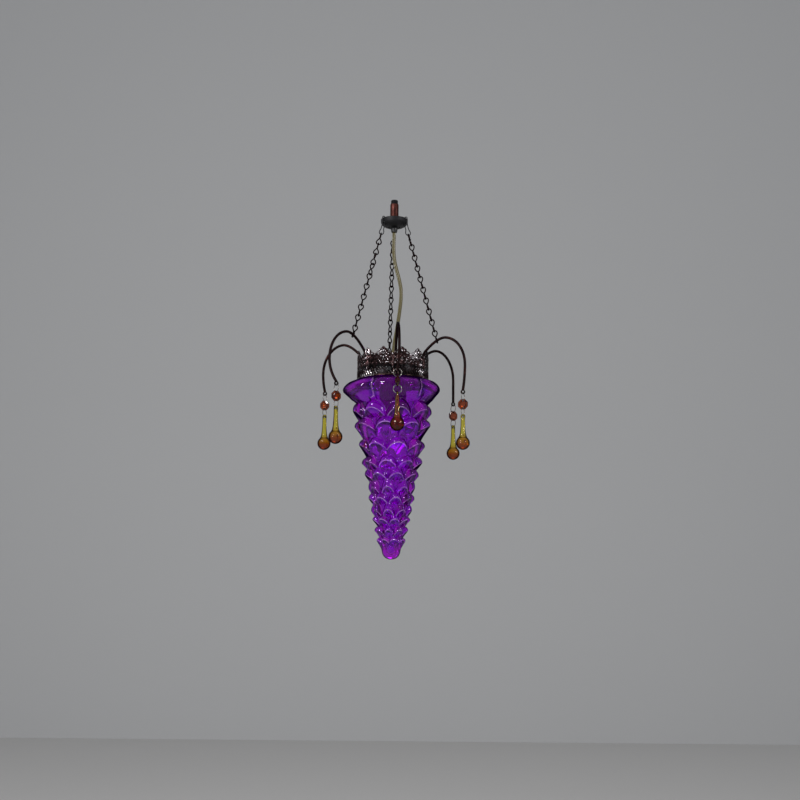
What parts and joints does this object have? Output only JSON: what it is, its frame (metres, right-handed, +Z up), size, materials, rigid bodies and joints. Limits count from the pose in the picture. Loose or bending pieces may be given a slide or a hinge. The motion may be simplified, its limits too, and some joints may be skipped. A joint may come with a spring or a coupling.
{
  "type": "pendant lamp",
  "caption": "Long cone of leaf-patterned glass in a pierced metal collar, hung on chains and a flat cord, with bent wire arms that carry crystal beads and glass drops.",
  "frame": {"origin": "centre of the stem's top face, where the ceiling holds the lamp", "axes": "+Z up along the stem, -Y towards the front, +X to the right seen from the front"},
  "size_m": [0.2132, 0.2292, 0.512],
  "materials": {
    "aged_copper": "antique copper-brown plating, worn bright on the high spots",
    "blackened_iron": "black, satin",
    "silvered_wire": "plain bright wire",
    "brass": "plain brass",
    "black_bakelite": "moulded, semi-gloss",
    "porcelain": "white glazed",
    "gold_flex": "clear golden-olive flex",
    "purple_glass": "clear purple pressed glass",
    "amber_crystal": "faceted amber crystal",
    "amber_glass": "amber glass, yellow-green where it is thin",
    "clear_glass": "clear blown glass"
  },
  "bodies": {
    "hub": {"stem_tube": "aged_copper", "threaded_rod": "blackened_iron", "hub_plate": "blackened_iron", "hub_lock_nut": "blackened_iron", "cord_grip": "black_bakelite", "grip_screw": "black_bakelite", "pendant_cord": "gold_flex"},
    "chain_right": {"chain_hook_right": "blackened_iron", "chain_right": "aged_copper"},
    "chain_back": {"chain_hook_back": "blackened_iron", "chain_back": "aged_copper"},
    "chain_left": {"chain_hook_left": "blackened_iron", "chain_left": "aged_copper"},
    "lamp": {"collar": "aged_copper", "shade_screw_1": "blackened_iron", "shade_screw_2": "blackened_iron", "shade_screw_3": "blackened_iron", "arm_1": "aged_copper", "arm_2": "aged_copper", "arm_3": "aged_copper", "arm_4": "aged_copper", "arm_5": "aged_copper", "arm_6": "aged_copper", "glass_shade": "purple_glass", "lampholder_bridge": "aged_copper", "bridge_nut": "aged_copper", "bridge_nipple": "aged_copper", "lampholder_cap": "black_bakelite", "lampholder_shell": "black_bakelite", "contact_block": "porcelain", "screw_sleeve": "brass", "centre_contact": "brass", "bulb_cap": "brass", "bulb_glass": "clear_glass", "bulb_filament": "porcelain"},
    "upper_ring_1": {"upper_ring_1": "silvered_wire"},
    "bead_1": {"bead_1": "amber_crystal"},
    "lower_ring_1": {"lower_ring_1": "silvered_wire"},
    "drop_1": {"drop_1": "amber_glass"},
    "upper_ring_2": {"upper_ring_2": "silvered_wire"},
    "bead_2": {"bead_2": "amber_crystal"},
    "lower_ring_2": {"lower_ring_2": "silvered_wire"},
    "drop_2": {"drop_2": "amber_glass"},
    "upper_ring_3": {"upper_ring_3": "silvered_wire"},
    "bead_3": {"bead_3": "amber_crystal"},
    "lower_ring_3": {"lower_ring_3": "silvered_wire"},
    "drop_3": {"drop_3": "amber_glass"},
    "upper_ring_4": {"upper_ring_4": "silvered_wire"},
    "bead_4": {"bead_4": "amber_crystal"},
    "lower_ring_4": {"lower_ring_4": "silvered_wire"},
    "drop_4": {"drop_4": "amber_glass"},
    "upper_ring_5": {"upper_ring_5": "silvered_wire"},
    "bead_5": {"bead_5": "amber_crystal"},
    "lower_ring_5": {"lower_ring_5": "silvered_wire"},
    "drop_5": {"drop_5": "amber_glass"},
    "upper_ring_6": {"upper_ring_6": "silvered_wire"},
    "bead_6": {"bead_6": "amber_crystal"},
    "lower_ring_6": {"lower_ring_6": "silvered_wire"},
    "drop_6": {"drop_6": "amber_glass"}
  },
  "joints": [
    {"name": "lamp_swing", "type": "hinge", "parent": "hub", "child": "lamp", "pos_m": [0, 0, 0.04611], "axis": [0, 1, 0], "range_deg": [-5, 5], "deforming": ["pendant_cord"]},
    {"name": "chain_right_swing", "type": "hinge", "parent": "hub", "child": "chain_right", "pos_m": [0.01672, -0.0078, -0.0226], "axis": [0, 1, 0], "range_deg": [-7, 7]},
    {"name": "chain_back_swing", "type": "hinge", "parent": "hub", "child": "chain_back", "pos_m": [-0.00161, 0.01838, -0.0226], "axis": [0, 1, 0], "range_deg": [-7, 7]},
    {"name": "chain_left_swing", "type": "hinge", "parent": "hub", "child": "chain_left", "pos_m": [-0.01511, -0.01058, -0.0226], "axis": [0, 1, 0], "range_deg": [-7, 7]},
    {"name": "upper_ring_1_swing", "type": "hinge", "parent": "lamp", "child": "upper_ring_1", "pos_m": [0.00716, -0.10477, -0.25904], "axis": [0.9962, 0.0872, 0], "range_deg": [-20, 20]},
    {"name": "bead_1_sway", "type": "hinge", "parent": "upper_ring_1", "child": "bead_1", "pos_m": [0.00716, -0.10477, -0.26521], "axis": [0.0872, -0.9962, 0], "range_deg": [-20, 20]},
    {"name": "lower_ring_1_swing", "type": "hinge", "parent": "bead_1", "child": "lower_ring_1", "pos_m": [0.00716, -0.10477, -0.28132], "axis": [0.9962, 0.0872, 0], "range_deg": [-15, 15]},
    {"name": "drop_1_sway", "type": "hinge", "parent": "lower_ring_1", "child": "drop_1", "pos_m": [0.00716, -0.10477, -0.28703], "axis": [0.0872, -0.9962, 0], "range_deg": [-20, 20]},
    {"name": "upper_ring_2_swing", "type": "hinge", "parent": "lamp", "child": "upper_ring_2", "pos_m": [0.09607, -0.0448, -0.28004], "axis": [0.4226, 0.9063, 0], "range_deg": [-20, 20]},
    {"name": "bead_2_sway", "type": "hinge", "parent": "upper_ring_2", "child": "bead_2", "pos_m": [0.09607, -0.0448, -0.28621], "axis": [0.9063, -0.4226, 0], "range_deg": [-20, 20]},
    {"name": "lower_ring_2_swing", "type": "hinge", "parent": "bead_2", "child": "lower_ring_2", "pos_m": [0.09607, -0.0448, -0.30232], "axis": [0.4226, 0.9063, 0], "range_deg": [-15, 15]},
    {"name": "drop_2_sway", "type": "hinge", "parent": "lower_ring_2", "child": "drop_2", "pos_m": [0.09607, -0.0448, -0.30803], "axis": [0.9063, -0.4226, 0], "range_deg": [-20, 20]},
    {"name": "upper_ring_3_swing", "type": "hinge", "parent": "lamp", "child": "upper_ring_3", "pos_m": [0.08765, 0.06137, -0.28044], "axis": [-0.5736, 0.8191, 0], "range_deg": [-20, 20]},
    {"name": "bead_3_sway", "type": "hinge", "parent": "upper_ring_3", "child": "bead_3", "pos_m": [0.08765, 0.06137, -0.28661], "axis": [0.8191, 0.5736, 0], "range_deg": [-20, 20]},
    {"name": "lower_ring_3_swing", "type": "hinge", "parent": "bead_3", "child": "lower_ring_3", "pos_m": [0.08765, 0.06137, -0.30272], "axis": [-0.5736, 0.8191, 0], "range_deg": [-15, 15]},
    {"name": "drop_3_sway", "type": "hinge", "parent": "lower_ring_3", "child": "drop_3", "pos_m": [0.08765, 0.06137, -0.30843], "axis": [0.8191, 0.5736, 0], "range_deg": [-20, 20]},
    {"name": "upper_ring_4_swing", "type": "hinge", "parent": "lamp", "child": "upper_ring_4", "pos_m": [-0.00924, 0.1056, -0.28204], "axis": [-0.9962, -0.0872, 0], "range_deg": [-20, 20]},
    {"name": "bead_4_sway", "type": "hinge", "parent": "upper_ring_4", "child": "bead_4", "pos_m": [-0.00924, 0.1056, -0.28821], "axis": [-0.0872, 0.9962, 0], "range_deg": [-20, 20]},
    {"name": "lower_ring_4_swing", "type": "hinge", "parent": "bead_4", "child": "lower_ring_4", "pos_m": [-0.00924, 0.1056, -0.30432], "axis": [-0.9962, -0.0872, 0], "range_deg": [-15, 15]},
    {"name": "drop_4_sway", "type": "hinge", "parent": "lower_ring_4", "child": "drop_4", "pos_m": [-0.00924, 0.1056, -0.31003], "axis": [-0.0872, 0.9962, 0], "range_deg": [-20, 20]},
    {"name": "upper_ring_5_swing", "type": "hinge", "parent": "lamp", "child": "upper_ring_5", "pos_m": [-0.09788, 0.04564, -0.26904], "axis": [-0.4226, -0.9063, 0], "range_deg": [-20, 20]},
    {"name": "bead_5_sway", "type": "hinge", "parent": "upper_ring_5", "child": "bead_5", "pos_m": [-0.09788, 0.04564, -0.27521], "axis": [-0.9063, 0.4226, 0], "range_deg": [-20, 20]},
    {"name": "lower_ring_5_swing", "type": "hinge", "parent": "bead_5", "child": "lower_ring_5", "pos_m": [-0.09788, 0.04564, -0.29132], "axis": [-0.4226, -0.9063, 0], "range_deg": [-15, 15]},
    {"name": "drop_5_sway", "type": "hinge", "parent": "lower_ring_5", "child": "drop_5", "pos_m": [-0.09788, 0.04564, -0.29703], "axis": [-0.9063, 0.4226, 0], "range_deg": [-20, 20]},
    {"name": "upper_ring_6_swing", "type": "hinge", "parent": "lamp", "child": "upper_ring_6", "pos_m": [-0.07511, -0.06969, -0.27404], "axis": [0.5736, -0.8191, 0], "range_deg": [-20, 20]},
    {"name": "bead_6_sway", "type": "hinge", "parent": "upper_ring_6", "child": "bead_6", "pos_m": [-0.07511, -0.06969, -0.28021], "axis": [-0.8191, -0.5736, 0], "range_deg": [-20, 20]},
    {"name": "lower_ring_6_swing", "type": "hinge", "parent": "bead_6", "child": "lower_ring_6", "pos_m": [-0.07511, -0.06969, -0.29632], "axis": [0.5736, -0.8191, 0], "range_deg": [-15, 15]},
    {"name": "drop_6_sway", "type": "hinge", "parent": "lower_ring_6", "child": "drop_6", "pos_m": [-0.07511, -0.06969, -0.30203], "axis": [-0.8191, -0.5736, 0], "range_deg": [-20, 20]}
  ],
  "couplings": [
    {"joint": "chain_right_swing", "follows": "lamp_swing", "ratio": 1.38},
    {"joint": "chain_back_swing", "follows": "lamp_swing", "ratio": 1.38},
    {"joint": "chain_left_swing", "follows": "lamp_swing", "ratio": 1.38}
  ]
}
